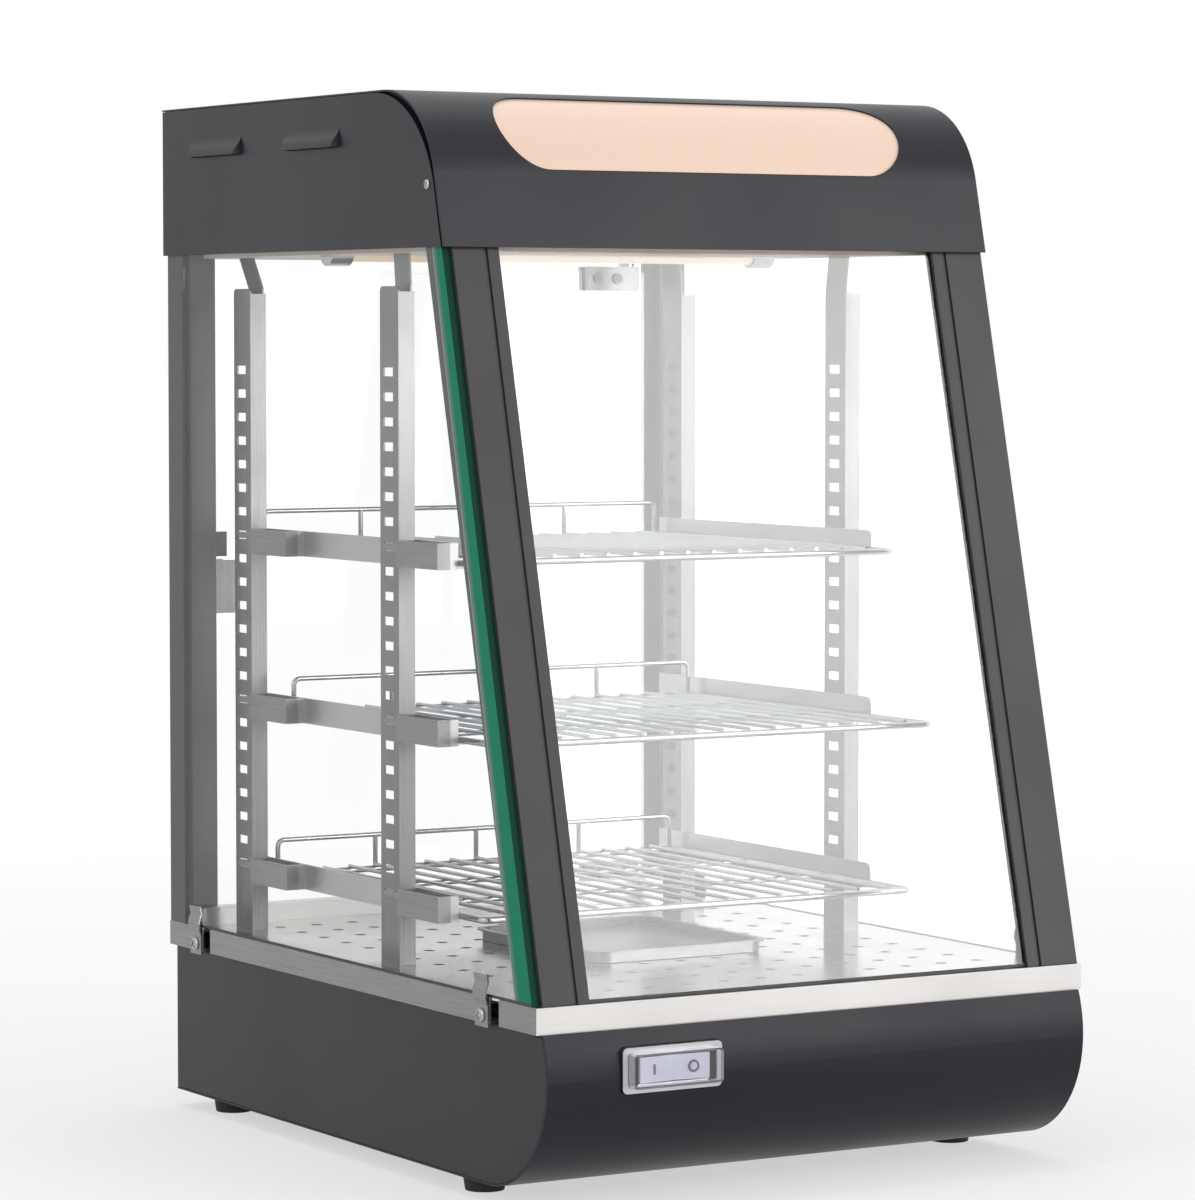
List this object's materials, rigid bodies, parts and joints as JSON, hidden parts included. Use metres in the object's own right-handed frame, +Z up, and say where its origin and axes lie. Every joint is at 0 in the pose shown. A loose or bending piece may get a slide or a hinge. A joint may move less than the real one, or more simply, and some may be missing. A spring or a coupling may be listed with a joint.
{
  "type": "heated display case",
  "caption": "Counter-top heated food display case: glazed cabinet with wire shelves, curved hood with a blank lit sign, perforated deck, rear door, switch and water pan.",
  "frame": {"origin": "middle of the outline seen from above, on the surface that the feet stand on", "axes": "+X to the right as seen from the front, the front faces -Y, +Z up"},
  "size_m": [0.3706, 0.479, 0.61],
  "materials": {
    "charcoal_paint": "satin charcoal powder coat",
    "satin_steel": "fine brushed stainless sheet",
    "clear_glass": "clear float glass with green edges",
    "bright_wire": "bright plated",
    "clamp_metal": "satin",
    "pull_metal": "satin grey",
    "black_plastic": "matte black",
    "clear_plastic": "clear moulded cap",
    "rocker_plastic": "pale gloss",
    "foot_rubber": "matte",
    "sign_plastic": "translucent warm sheet, blank",
    "ceiling_paint": "pale reflector",
    "lamp_glass": "frosted tube",
    "element_steel": "heat-darkened sheath"
  },
  "bodies": {
    "case": {"base_shell": "charcoal_paint", "base_side_left": "charcoal_paint", "base_side_right": "charcoal_paint", "base_back_panel": "charcoal_paint", "cable_gland": "black_plastic", "rubber_feet": "foot_rubber", "foot_screws": "bright_wire", "deck_frame": "satin_steel", "deck_plate": "satin_steel", "rear_sill": "satin_steel", "glass_clips": "satin_steel", "clip_screws": "bright_wire", "side_glass_left": "clear_glass", "side_glass_right": "clear_glass", "front_post_left": "charcoal_paint", "front_post_right": "charcoal_paint", "front_glass": "clear_glass", "rear_post_left": "charcoal_paint", "rear_post_right": "charcoal_paint", "upright_front_left": "satin_steel", "upright_front_right": "satin_steel", "upright_rear_left": "satin_steel", "upright_rear_right": "satin_steel", "shelf_rail_top_left": "satin_steel", "shelf_rail_top_right": "satin_steel", "shelf_rail_middle_left": "satin_steel", "shelf_rail_middle_right": "satin_steel", "shelf_rail_bottom_left": "satin_steel", "shelf_rail_bottom_right": "satin_steel", "hood_shell": "charcoal_paint", "hood_side_left": "charcoal_paint", "hood_side_right": "charcoal_paint", "hood_back_panel": "charcoal_paint", "hood_screws": "bright_wire", "sign_panel": "sign_plastic", "sign_lamp": "lamp_glass", "ceiling_plate": "ceiling_paint", "lamp_tube": "lamp_glass", "lamp_holders": "bright_wire", "door_pivots": "bright_wire", "door_catch": "black_plastic", "switch_frame": "black_plastic", "switch_cover": "clear_plastic", "heat_shield": "satin_steel", "element_brackets": "satin_steel", "heating_element": "element_steel", "terminal_block": "black_plastic", "thermostat": "black_plastic"},
    "rear_door": {"door_glass": "clear_glass", "door_hinge_plates": "clamp_metal", "door_hinge_screws": "bright_wire", "door_handle": "pull_metal"},
    "wire_shelf_top": {"wire_shelf_top": "bright_wire"},
    "wire_shelf_middle": {"wire_shelf_middle": "bright_wire"},
    "wire_shelf_bottom": {"wire_shelf_bottom": "bright_wire"},
    "water_pan": {"water_pan": "satin_steel"},
    "switch_rocker": {"switch_rocker": "rocker_plastic"}
  },
  "joints": [
    {"name": "rear_door_hinge", "type": "hinge", "parent": "case", "child": "rear_door", "pos_m": [0.141, 0.217, 0.3], "axis": [0, 0, -1], "range_deg": [0, 110]},
    {"name": "top_shelf_slide", "type": "slide", "parent": "case", "child": "wire_shelf_top", "axis": [0, 1, 0], "range_m": [-0.049, 0.025]},
    {"name": "middle_shelf_slide", "type": "slide", "parent": "case", "child": "wire_shelf_middle", "axis": [0, 1, 0], "range_m": [-0.029, 0.065]},
    {"name": "bottom_shelf_slide", "type": "slide", "parent": "case", "child": "wire_shelf_bottom", "axis": [0, 1, 0], "range_m": [-0.049, 0.043]},
    {"name": "water_pan_slide", "type": "slide", "parent": "case", "child": "water_pan", "axis": [0, 1, 0], "range_m": [-0.08, 0.13]},
    {"name": "switch_rock", "type": "hinge", "parent": "case", "child": "switch_rocker", "pos_m": [-0.0995, -0.2283, 0.0775], "axis": [0, 0, 1], "range_deg": [-7, 7]}
  ]
}
